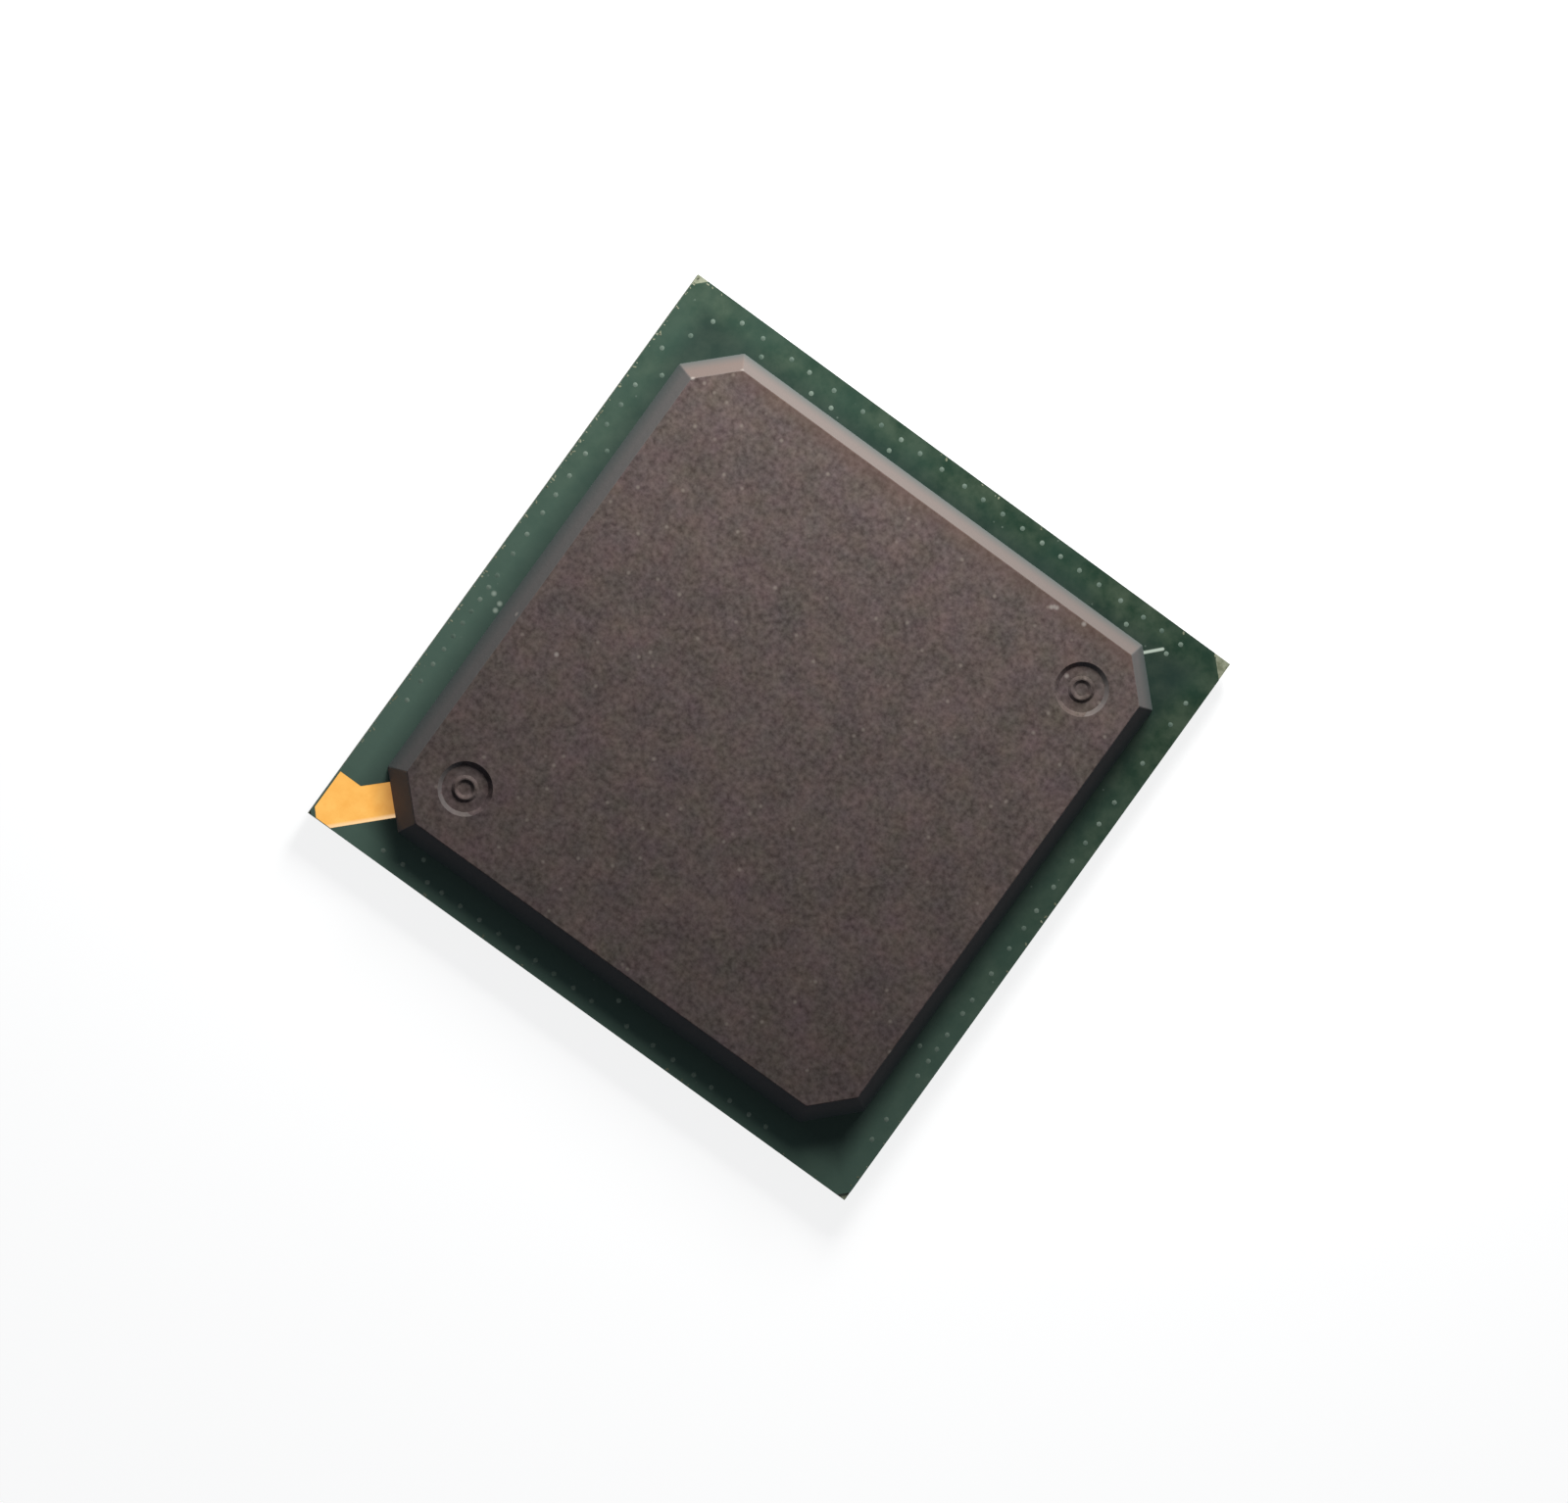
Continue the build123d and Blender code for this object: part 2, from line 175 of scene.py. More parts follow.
@dataclass(frozen=True)
class MouldCompound:
    """Epoxy moulding compound, moulded in a spark-eroded tool.

    Silica and soot in the resin make it a dull brown-grey with a cloudy grain, faint patches of
    olive and plum and pale flecks, browner along the back edge. The walls leave the tool a little
    paler, and turn darker and greener toward their foot: painted shade where they meet the board.
    The walls that face the lamp carry a painted highlight above the foot, and the one over the
    gate carries painted light reflected up from the gold.

    A span gives where a ramp starts and where it is full, and a share how strongly its tone shows.
    """

    name: str = "mould_compound_spark_eroded"
    dark_grain: str = "#463c39"
    light_grain: str = "#6a5e5a"
    edge_band: str = "#5f4b41"
    wall: str = "#6b6866"
    # Painted shade, greened by the board, at the walls' foot.
    foot_shade: str = "#575d5b"
    # Painted highlight on the walls that face the lamp.
    lamp_side_highlight: str = "#74655e"
    # Pale chips, and painted highlights at two corner ends.
    chip_and_glint: str = "#a39b94"
    # Painted light reflected from the gold gate onto the wall over it.
    gold_reflection: str = "#9a8b80"
    fleck: str = "#948a80"
    roughness: float = 0.82
    specular: float = 0.05
    raggedness: float = 0.6
    grain_mm: float = 0.25
    grain_detail: float = 5.0
    grain_depth_mm: float = 0.008
    grain_span: tuple[float, float] = (0.44, 0.86)
    patch_mm: float = 1.3
    patch_detail: float = 3.0
    patch_weight: float = 0.3
    patch_share: float = 0.15
    # Flecks stand only in the cells whose random tone is above this.
    fleck_pick: float = 0.7
    fleck_mm: float = 0.5
    fleck_span: tuple[float, float] = (0.22, 0.06)
    fleck_share: float = 0.45
    # The brown band along the back edge of the flat top.
    band_start_mm: float = 10.52
    band_end_mm: float = 11.32
    band_share: float = 0.5
    # Walls lie outside this reach, and their normals' Z falls over this span.
    wall_reach_mm: float = 9.72
    wall_span: tuple[float, float] = (0.92, 0.62)
    foot_low_mm: float = 1.10
    foot_high_mm: float = 1.75
    # The walls that face this way, toward the lamp, get a painted highlight.
    highlight_way: tuple[float, float, float] = (-0.6, 0.9, 0.0)
    highlight_span: tuple[float, float] = (0.55, 0.95)
    highlight_low_mm: float = 1.0
    highlight_high_mm: float = 1.65
    highlight_share: float = 0.85
    # The wall that faces this way lies over the gate, and gets painted light reflected from its
    # gold.
    gate_way: tuple[float, float, float] = (-0.7, -0.7, 0.0)
    gate_span: tuple[float, float] = (0.7, 0.8)
    chip_and_glint_reach_mm: float = 0.13
    chip_and_glint_share: float = 0.6
    # Small pale spots: chips, a short curved one and a round one near the back edge, one in the
    # right ejector mark and two near the left edge, and painted highlights at the two ends of the
    # left corner's top edge, where the rounded edge catches the lamp.
    chip_and_glint_places_mm: tuple[tuple[float, float, float], ...] = (
        (6.02, 10.98, 2.23), (6.10, 11.05, 2.23), (6.20, 11.08, 2.23), (7.50, 11.20, 2.23),
        (8.19, 9.09, 2.12), (-11.30, 9.88, 2.20), (-9.88, 11.38, 2.20), (-11.45, -2.05, 2.00),
        (-9.20, -2.43, 2.23))

    def tone(self, tree: bpy.types.NodeTree, place: bpy.types.NodeSocket,
             grain: bpy.types.NodeSocket) -> bpy.types.NodeSocket:
        """Gives the colour of the moulded skin before its wear.

        Args:
            tree: the material's node tree.
            place: its object coordinates.
            grain: the grain's height.

        Returns:
            The colour.
        """
        patch = add_node(tree, "ShaderNodeTexNoise", {
            "Vector": place, "Scale": per_metre(self.patch_mm), "Detail": self.patch_detail,
            "Roughness": self.raggedness})
        mottle = add_node(tree, "ShaderNodeMath", {
            0: patch.outputs["Fac"], 1: self.patch_weight, 2: grain}, operation="MULTIPLY_ADD")
        grain_share = add_node(tree, "ShaderNodeMapRange", {
            "Value": mottle.outputs[0], "From Min": self.grain_span[0],
            "From Max": self.grain_span[1]})
        speckled = add_node(tree, "ShaderNodeMix", {
            MIX_FACTOR: grain_share.outputs[0], MIX_FIRST: linear(self.dark_grain),
            MIX_SECOND: linear(self.light_grain)}, data_type="RGBA")
        tinted = add_node(tree, "ShaderNodeMix", {
            MIX_FACTOR: self.patch_share, MIX_FIRST: speckled.outputs[MIX_RESULT],
            MIX_SECOND: patch.outputs["Color"]}, data_type="RGBA", blend_type="SOFT_LIGHT")
        flecks = add_node(tree, "ShaderNodeTexVoronoi", {
            "Vector": place, "Scale": per_metre(self.fleck_mm)})
        chosen = add_node(tree, "ShaderNodeMath", {
            0: flecks.outputs["Color"], 1: self.fleck_pick}, operation="GREATER_THAN")
        small = add_node(tree, "ShaderNodeMapRange", {
            "Value": flecks.outputs["Distance"], "From Min": self.fleck_span[0],
            "From Max": self.fleck_span[1], "To Max": self.fleck_share})
        fleck_share = add_node(tree, "ShaderNodeMath", {
            0: chosen.outputs[0], 1: small.outputs[0]}, operation="MULTIPLY")
        return add_node(tree, "ShaderNodeMix", {
            MIX_FACTOR: fleck_share.outputs[0], MIX_FIRST: tinted.outputs[MIX_RESULT],
            MIX_SECOND: linear(self.fleck)}, data_type="RGBA").outputs[MIX_RESULT]

    def build(self) -> bpy.types.Material:
        """Makes the material.

        Returns:
            The new material.
        """
        material, tree, place = start_material(self.name)
        grain = add_node(tree, "ShaderNodeTexNoise", {
            "Vector": place, "Scale": per_metre(self.grain_mm), "Detail": self.grain_detail,
            "Roughness": self.raggedness})
        parts = add_node(tree, "ShaderNodeSeparateXYZ", {0: place})
        band_share = add_node(tree, "ShaderNodeMapRange", {
            "Value": parts.outputs["Y"], "From Min": self.band_start_mm * MM,
            "From Max": self.band_end_mm * MM, "To Max": self.band_share})
        banded = add_node(tree, "ShaderNodeMix", {
            MIX_FACTOR: band_share.outputs[0],
            MIX_FIRST: self.tone(tree, place, grain.outputs["Fac"]),
            MIX_SECOND: linear(self.edge_band)}, data_type="RGBA")
        normal = add_node(tree, "ShaderNodeNewGeometry").outputs["Normal"]
        facing = add_node(tree, "ShaderNodeSeparateXYZ", {0: normal})
        outside = add_node(tree, "ShaderNodeMath", {
            0: reach_of(tree, place), 1: self.wall_reach_mm * MM}, operation="GREATER_THAN")
        slope = add_node(tree, "ShaderNodeMapRange", {
            "Value": facing.outputs["Z"], "From Min": self.wall_span[0],
            "From Max": self.wall_span[1]})
        wall_share = add_node(tree, "ShaderNodeMath", {
            0: slope.outputs[0], 1: outside.outputs[0]}, operation="MULTIPLY")
        # Painted shade: the walls turn darker and greener toward their foot, where they meet the
        # board.
        low = add_node(tree, "ShaderNodeMapRange", {
            "Value": parts.outputs["Z"], "From Min": self.foot_high_mm * MM,
            "From Max": self.foot_low_mm * MM})
        wall_tone = add_node(tree, "ShaderNodeMix", {
            MIX_FACTOR: low.outputs[0], MIX_FIRST: linear(self.wall),
            MIX_SECOND: linear(self.foot_shade)}, data_type="RGBA")
        # Painted light reflected from the gold gate makes the wall over it paler.
        gateward = add_node(tree, "ShaderNodeVectorMath", {0: normal, 1: self.gate_way},
                            operation="DOT_PRODUCT")
        gate_share = add_node(tree, "ShaderNodeMapRange", {
            "Value": gateward.outputs["Value"], "From Min": self.gate_span[0],
            "From Max": self.gate_span[1]})
        gold_reflected_tone = add_node(tree, "ShaderNodeMix", {
            MIX_FACTOR: gate_share.outputs[0], MIX_FIRST: wall_tone.outputs[MIX_RESULT],
            MIX_SECOND: linear(self.gold_reflection)}, data_type="RGBA")
        walled = add_node(tree, "ShaderNodeMix", {
            MIX_FACTOR: wall_share.outputs[0], MIX_FIRST: banded.outputs[MIX_RESULT],
            MIX_SECOND: gold_reflected_tone.outputs[MIX_RESULT]}, data_type="RGBA")
        # Painted highlight: the walls that face the lamp turn paler above their foot.
        high = add_node(tree, "ShaderNodeMapRange", {
            "Value": parts.outputs["Z"], "From Min": self.highlight_low_mm * MM,
            "From Max": self.highlight_high_mm * MM})
        turned = add_node(tree, "ShaderNodeVectorMath", {0: normal, 1: self.highlight_way},
                          operation="DOT_PRODUCT")
        lampward = add_node(tree, "ShaderNodeMapRange", {
            "Value": turned.outputs["Value"], "From Min": self.highlight_span[0],
            "From Max": self.highlight_span[1], "To Max": self.highlight_share})
        upper_wall_share = add_node(tree, "ShaderNodeMath", {
            0: high.outputs[0], 1: wall_share.outputs[0]}, operation="MULTIPLY")
        highlight_share = add_node(tree, "ShaderNodeMath", {
            0: upper_wall_share.outputs[0], 1: lampward.outputs[0]}, operation="MULTIPLY")
        highlighted = add_node(tree, "ShaderNodeMix", {
            MIX_FACTOR: highlight_share.outputs[0], MIX_FIRST: walled.outputs[MIX_RESULT],
            MIX_SECOND: linear(self.lamp_side_highlight)}, data_type="RGBA")
        # Pale chips, and painted highlights at the ends of the left corner's top edge.
        chip_and_glint = add_node(tree, "ShaderNodeMix", {
            MIX_FACTOR: spots(tree, place, self.chip_and_glint_places_mm, self.chip_and_glint_reach_mm,
                              self.chip_and_glint_share),
            MIX_FIRST: highlighted.outputs[MIX_RESULT], MIX_SECOND: linear(self.chip_and_glint)},
            data_type="RGBA")
        relief = add_node(tree, "ShaderNodeBump", {
            "Height": grain.outputs["Fac"], "Distance": self.grain_depth_mm * MM})
        end_material(tree, {"Base Color": chip_and_glint.outputs[MIX_RESULT],
                            "Roughness": self.roughness, "Specular IOR Level": self.specular,
                            "Normal": relief.outputs["Normal"]})
        return material


@dataclass(frozen=True)
class SolderMask:
    """Green solder mask, curtain-coated and cured.

    A thin half-gloss green film, cloudy and bluish where it lies thinner, and darker beside the
    cap: painted shade at the cap's foot. Specks of dust and a few splashes lie on it, the film is
    painted paler and greyer from the back right to the front left, painted light that evens out
    the lamp's fall-off, and one scratch near the right corner has whitened it.
    """

    name: str = "solder_mask_cured"
    thick: str = "#203427"
    thin: str = "#3e4c3d"
    bluish: str = "#243b32"
    # Painted shade beside the cap.
    cap_shade: str = "#232d2c"
    dust: str = "#78857a"
    # Painted light toward the front left.
    front_light: str = "#576d61"
    scratched: str = "#b4c0b2"
    smooth: float = 0.34
    rough: float = 0.52
    specular: float = 0.07
    raggedness: float = 0.6
    cloud_mm: float = 0.9
    cloud_detail: float = 5.0
    cloud_span: tuple[float, float] = (0.36, 0.66)
    blotch_mm: float = 3.5
    blotch_detail: float = 2.0
    blotch_span: tuple[float, float] = (0.42, 0.66)
    blotch_share: float = 0.6
    # Dust lies only in the cells whose random tone is above this.
    dust_pick: float = 0.7
    dust_mm: float = 0.45
    dust_span: tuple[float, float] = (0.12, 0.05)
    dust_share: float = 0.4
    peel_mm: float = 0.35
    peel_detail: float = 2.0
    peel_depth_mm: float = 0.004
    # The painted light grows along this way, measured from the middle.
    front_light_way: tuple[float, float, float] = (0.35, 1.0, 0.0)
    front_light_start_mm: float = 13.5
    front_light_full_mm: float = -14.5
    front_light_share: float = 0.9
    # Painted shade darkens the film beside the cap's foot.
    cap_shade_start_mm: float = 12.0
    cap_shade_end_mm: float = 12.8
    cap_shade_share: float = 0.5
    scratch_start_mm: tuple[float, float, float] = (10.30, 11.77, 1.06)
    scratch_end_mm: tuple[float, float, float] = (10.87, 12.37, 1.06)
    scratch_reach_mm: float = 0.085
    scratch_core_mm: float = 0.034
    scratch_share: float = 0.9
    speck_reach_mm: float = 0.14
    speck_share: float = 0.45
    # Splashes beside the cap's left wall.
    speck_places_mm: tuple[tuple[float, float, float], ...] = (
        (-12.63, -1.88, 1.06), (-12.20, -2.08, 1.06), (-12.18, -2.40, 1.06))

    def coat(self, tree: bpy.types.NodeTree, place: bpy.types.NodeSocket,
             cloud: bpy.types.NodeSocket) -> bpy.types.NodeSocket:
        """Gives the film's colour, with painted shade beside the cap and painted light toward the
        front left.

        Args:
            tree: the material's node tree.
            place: its object coordinates.
            cloud: the film's cloudiness.

        Returns:
            The colour.
        """
        blotch = add_node(tree, "ShaderNodeTexNoise", {
            "Vector": place, "Scale": per_metre(self.blotch_mm), "Detail": self.blotch_detail})
        cloud_share = add_node(tree, "ShaderNodeMapRange", {
            "Value": cloud, "From Min": self.cloud_span[0], "From Max": self.cloud_span[1]})
        blotch_share = add_node(tree, "ShaderNodeMapRange", {
            "Value": blotch.outputs["Fac"], "From Min": self.blotch_span[0],
            "From Max": self.blotch_span[1], "To Max": self.blotch_share})
        clouded = add_node(tree, "ShaderNodeMix", {
            MIX_FACTOR: cloud_share.outputs[0], MIX_FIRST: linear(self.thick),
            MIX_SECOND: linear(self.thin)}, data_type="RGBA")
        blotched = add_node(tree, "ShaderNodeMix", {
            MIX_FACTOR: blotch_share.outputs[0], MIX_FIRST: clouded.outputs[MIX_RESULT],
            MIX_SECOND: linear(self.bluish)}, data_type="RGBA")
        # Painted light: the film turns paler and greyer toward the front left, away from the lamp.
        lean = add_node(tree, "ShaderNodeVectorMath", {0: place, 1: self.front_light_way},
                        operation="DOT_PRODUCT")
        front_light_share = add_node(tree, "ShaderNodeMapRange", {
            "Value": lean.outputs["Value"], "From Min": self.front_light_start_mm * MM,
            "From Max": self.front_light_full_mm * MM, "To Max": self.front_light_share})
        front_lit = add_node(tree, "ShaderNodeMix", {
            MIX_FACTOR: front_light_share.outputs[0], MIX_FIRST: blotched.outputs[MIX_RESULT],
            MIX_SECOND: linear(self.front_light)}, data_type="RGBA")
        # Painted shade beside the cap.
        cap_shade_share = add_node(tree, "ShaderNodeMapRange", {
            "Value": reach_of(tree, place), "From Min": self.cap_shade_end_mm * MM,
            "From Max": self.cap_shade_start_mm * MM, "To Max": self.cap_shade_share})
        return add_node(tree, "ShaderNodeMix", {
            MIX_FACTOR: cap_shade_share.outputs[0], MIX_FIRST: front_lit.outputs[MIX_RESULT],
            MIX_SECOND: linear(self.cap_shade)}, data_type="RGBA").outputs[MIX_RESULT]

    def scratch(self, tree: bpy.types.NodeTree,
                place: bpy.types.NodeSocket) -> bpy.types.NodeSocket:
        """Gives the scratch's share: strong along its line and 0 away from it.

        Args:
            tree: the material's node tree.
            place: its object coordinates.

        Returns:
            The share.
        """
        start, end = Vector(self.scratch_start_mm), Vector(self.scratch_end_mm)
        run = end - start
        local = add_node(tree, "ShaderNodeMapping", {
            "Vector": place, "Location": (start + end) / 2 * MM,
            "Rotation": (0, 0, math.atan2(run.y, run.x))}, vector_type="TEXTURE")
        parts = add_node(tree, "ShaderNodeSeparateXYZ", {0: local.outputs[0]})
        along = add_node(tree, "ShaderNodeMath", {0: parts.outputs["X"]}, operation="ABSOLUTE")
        past = add_node(tree, "ShaderNodeMath", {0: along.outputs[0], 1: run.length / 2 * MM},
                        operation="SUBTRACT")
        past_end = add_node(tree, "ShaderNodeMath", {0: past.outputs[0], 1: 0.0},
                            operation="MAXIMUM")
        away = add_node(tree, "ShaderNodeVectorMath", {
            0: add_node(tree, "ShaderNodeCombineXYZ", {
                "X": past_end.outputs[0], "Y": parts.outputs["Y"],
                "Z": parts.outputs["Z"]}).outputs[0]}, operation="LENGTH")
        return add_node(tree, "ShaderNodeMapRange", {
            "Value": away.outputs["Value"], "From Min": self.scratch_reach_mm * MM,
            "From Max": self.scratch_core_mm * MM, "To Max": self.scratch_share}).outputs[0]

    def build(self) -> bpy.types.Material:
        """Makes the material.

        Returns:
            The new material.
        """
        material, tree, place = start_material(self.name)
        cloud = add_node(tree, "ShaderNodeTexNoise", {
            "Vector": place, "Scale": per_metre(self.cloud_mm), "Detail": self.cloud_detail,
            "Roughness": self.raggedness})
        peel = add_node(tree, "ShaderNodeTexNoise", {
            "Vector": place, "Scale": per_metre(self.peel_mm), "Detail": self.peel_detail})
        specks = add_node(tree, "ShaderNodeTexVoronoi", {
            "Vector": place, "Scale": per_metre(self.dust_mm)})
        chosen = add_node(tree, "ShaderNodeMath", {
            0: specks.outputs["Color"], 1: self.dust_pick}, operation="GREATER_THAN")
        small = add_node(tree, "ShaderNodeMapRange", {
            "Value": specks.outputs["Distance"], "From Min": self.dust_span[0],
            "From Max": self.dust_span[1], "To Max": self.dust_share})
        dust_share = add_node(tree, "ShaderNodeMath", {
            0: chosen.outputs[0], 1: small.outputs[0]}, operation="MULTIPLY")
        dusty = add_node(tree, "ShaderNodeMix", {
            MIX_FACTOR: dust_share.outputs[0],
            MIX_FIRST: self.coat(tree, place, cloud.outputs["Fac"]),
            MIX_SECOND: linear(self.dust)}, data_type="RGBA")
        mark_share = add_node(tree, "ShaderNodeMath", {
            0: self.scratch(tree, place),
            1: spots(tree, place, self.speck_places_mm, self.speck_reach_mm, self.speck_share)},
            operation="MAXIMUM")
        marked = add_node(tree, "ShaderNodeMix", {
            MIX_FACTOR: mark_share.outputs[0], MIX_FIRST: dusty.outputs[MIX_RESULT],
            MIX_SECOND: linear(self.scratched)}, data_type="RGBA")
        gloss = add_node(tree, "ShaderNodeMapRange", {
            "Value": cloud.outputs["Fac"], "To Min": self.smooth, "To Max": self.rough})
        relief = add_node(tree, "ShaderNodeBump", {
            "Height": peel.outputs["Fac"], "Distance": self.peel_depth_mm * MM})
        end_material(tree, {"Base Color": marked.outputs[MIX_RESULT],
                            "Roughness": gloss.outputs[0], "Specular IOR Level": self.specular,
                            "Normal": relief.outputs["Normal"]})
        return material


@dataclass(frozen=True)
class GlassLaminate:
    """Glass cloth in resin, sawn.

    A pale straw-green body with whitish cut fibres in thin layers, which show at the board's edge
    and at its bare corners.
    """

    name: str = "glass_laminate_sawn"
    resin: str = "#666b55"
    fibre: str = "#989c86"
    cloth_mm: float = 0.42
    layer_mm: float = 0.035
    depth_mm: float = 0.006
    detail: float = 4.0
    raggedness: float = 0.7
    fibre_span: tuple[float, float] = (0.38, 0.66)
    roughness: float = 0.7
    specular: float = 0.2

    def build(self) -> bpy.types.Material:
        """Makes the material.

        Returns:
            The new material.
        """
        material, tree, place = start_material(self.name)
        layered = add_node(tree, "ShaderNodeMapping", {
            "Vector": place, "Scale": (1.0, 1.0, self.cloth_mm / self.layer_mm)})
        fibres = add_node(tree, "ShaderNodeTexNoise", {
            "Vector": layered.outputs[0], "Scale": per_metre(self.cloth_mm),
            "Detail": self.detail, "Roughness": self.raggedness})
        share = add_node(tree, "ShaderNodeMapRange", {
            "Value": fibres.outputs["Fac"], "From Min": self.fibre_span[0],
            "From Max": self.fibre_span[1]})
        mixed = add_node(tree, "ShaderNodeMix", {
            MIX_FACTOR: share.outputs[0], MIX_FIRST: linear(self.resin),
            MIX_SECOND: linear(self.fibre)}, data_type="RGBA")
        relief = add_node(tree, "ShaderNodeBump", {
            "Height": fibres.outputs["Fac"], "Distance": self.depth_mm * MM})
        end_material(tree, {"Base Color": mixed.outputs[MIX_RESULT],
                            "Roughness": self.roughness, "Specular IOR Level": self.specular,
                            "Normal": relief.outputs["Normal"]})
        return material


@dataclass(frozen=True)
class PlatedMetal:
    """A thin metal skin, plated or reflowed: satin, with small dull and bright patches."""

    name: str
    bright: str
    dull: str
    patch_mm: float
    smooth: float
    rough: float
    depth_mm: float
    detail: float = 4.0
    raggedness: float = 0.6
    patch_span: tuple[float, float] = (0.35, 0.7)
    gloss_span: tuple[float, float] = (0.3, 0.7)

    def marked(self, tree: bpy.types.NodeTree, place: bpy.types.NodeSocket,
               metal: bpy.types.NodeSocket) -> bpy.types.NodeSocket:
        """Gives the metal's colour with its marks: a plain skin has none."""
        return metal

    def build(self) -> bpy.types.Material:
        """Makes the material.

        Returns:
            The new material.
        """
        material, tree, place = start_material(self.name)
        patch = add_node(tree, "ShaderNodeTexNoise", {
            "Vector": place, "Scale": per_metre(self.patch_mm), "Detail": self.detail,
            "Roughness": self.raggedness})
        share = add_node(tree, "ShaderNodeMapRange", {
            "Value": patch.outputs["Fac"], "From Min": self.patch_span[0],
            "From Max": self.patch_span[1]})
        mixed = add_node(tree, "ShaderNodeMix", {
            MIX_FACTOR: share.outputs[0], MIX_FIRST: linear(self.bright),
            MIX_SECOND: linear(self.dull)}, data_type="RGBA")
        gloss = add_node(tree, "ShaderNodeMapRange", {
            "Value": patch.outputs["Fac"], "From Min": self.gloss_span[0],
            "From Max": self.gloss_span[1], "To Min": self.smooth, "To Max": self.rough})
        relief = add_node(tree, "ShaderNodeBump", {
            "Height": patch.outputs["Fac"], "Distance": self.depth_mm * MM})
        end_material(tree, {"Base Color": self.marked(tree, place, mixed.outputs[MIX_RESULT]),
                            "Metallic": 1.0, "Roughness": gloss.outputs[0],
                            "Normal": relief.outputs["Normal"]})
        return material


@dataclass(frozen=True)
class GateGold(PlatedMetal):
    """Soft gold over nickel: a full warm yellow that mirrors its surroundings softly.

    Painted shade darkens and browns it toward the cap, and one long side of the gate has a painted
    highlight along its edge.
    """

    # Painted shade toward the cap.
    cap_shadow: str = "#9c6a3c"
    # Painted highlight along one long edge of the gate.
    rim: str = "#ffe0b8"
    # The painted shade starts toward the corner, is full at the cap and ends under it. These
    # distances are sums of X and Y, along the gate.
    gate_way: tuple[float, float, float] = (-1.0, -1.0, 0.0)
    cap_shadow_start_mm: float = 23.4
    cap_shadow_full_mm: float = 22.0
    cap_shadow_end_mm: float = 20.0
    cap_shadow_share: float = 0.8
    # Distances from the gate's middle line, as the difference of X and Y, for the painted
    # highlight along its edge.
    edge_highlight_way: tuple[float, float, float] = (1.0, -1.0, 0.0)
    edge_highlight_start_mm: float = 0.78
    edge_highlight_full_mm: float = 0.95
    edge_highlight_share: float = 0.6

    def marked(self, tree: bpy.types.NodeTree, place: bpy.types.NodeSocket,
               metal: bpy.types.NodeSocket) -> bpy.types.NodeSocket:
        """Adds painted shade toward the cap and a painted highlight along one edge to the metal's
        colour.

        Args:
            tree: the material's node tree.
            place: its object coordinates.
            metal: the clean metal's colour.

        Returns:
            The colour.
        """
        # Painted shade: the gold darkens and browns toward the cap.
        along = add_node(tree, "ShaderNodeVectorMath", {0: place, 1: self.gate_way},
                         operation="DOT_PRODUCT")
        near = add_node(tree, "ShaderNodeMapRange", {
            "Value": along.outputs["Value"], "From Min": self.cap_shadow_start_mm * MM,
            "From Max": self.cap_shadow_full_mm * MM, "To Max": self.cap_shadow_share})
        outside = add_node(tree, "ShaderNodeMath", {
            0: along.outputs["Value"], 1: self.cap_shadow_end_mm * MM}, operation="GREATER_THAN")
        share = add_node(tree, "ShaderNodeMath", {0: near.outputs[0], 1: outside.outputs[0]},
                         operation="MULTIPLY")
        shadowed = add_node(tree, "ShaderNodeMix", {
            MIX_FACTOR: share.outputs[0], MIX_FIRST: metal, MIX_SECOND: linear(self.cap_shadow)},
            data_type="RGBA")
        # Painted highlight along the gate's long edge.
        aside = add_node(tree, "ShaderNodeVectorMath", {0: place, 1: self.edge_highlight_way},
                         operation="DOT_PRODUCT")
        near_edge = add_node(tree, "ShaderNodeMapRange", {
            "Value": aside.outputs["Value"], "From Min": self.edge_highlight_start_mm * MM,
            "From Max": self.edge_highlight_full_mm * MM, "To Max": self.edge_highlight_share})
        edge_highlight_share = add_node(tree, "ShaderNodeMath", {
            0: near_edge.outputs[0], 1: outside.outputs[0]}, operation="MULTIPLY")
        return add_node(tree, "ShaderNodeMix", {
            MIX_FACTOR: edge_highlight_share.outputs[0], MIX_FIRST: shadowed.outputs[MIX_RESULT],
            MIX_SECOND: linear(self.rim)}, data_type="RGBA").outputs[MIX_RESULT]


@dataclass(frozen=True)
class FilledResin:
    """A filled resin or glue, or another plain solid: two near tones in a fine grain."""

    name: str
    main: str
    second: str
    grain_mm: float
    roughness: float
    depth_mm: float
    detail: float = 3.0
    grain_span: tuple[float, float] = (0.35, 0.65)
    specular: float = 0.3

    def build(self) -> bpy.types.Material:
        """Makes the material.

        Returns:
            The new material.
        """
        material, tree, place = start_material(self.name)
        grain = add_node(tree, "ShaderNodeTexNoise", {
            "Vector": place, "Scale": per_metre(self.grain_mm), "Detail": self.detail})
        share = add_node(tree, "ShaderNodeMapRange", {
            "Value": grain.outputs["Fac"], "From Min": self.grain_span[0],
            "From Max": self.grain_span[1]})
        mixed = add_node(tree, "ShaderNodeMix", {
            MIX_FACTOR: share.outputs[0], MIX_FIRST: linear(self.main),
            MIX_SECOND: linear(self.second)}, data_type="RGBA")
        relief = add_node(tree, "ShaderNodeBump", {
            "Height": grain.outputs["Fac"], "Distance": self.depth_mm * MM})
        end_material(tree, {"Base Color": mixed.outputs[MIX_RESULT],
                            "Roughness": self.roughness, "Specular IOR Level": self.specular,
                            "Normal": relief.outputs["Normal"]})
        return material


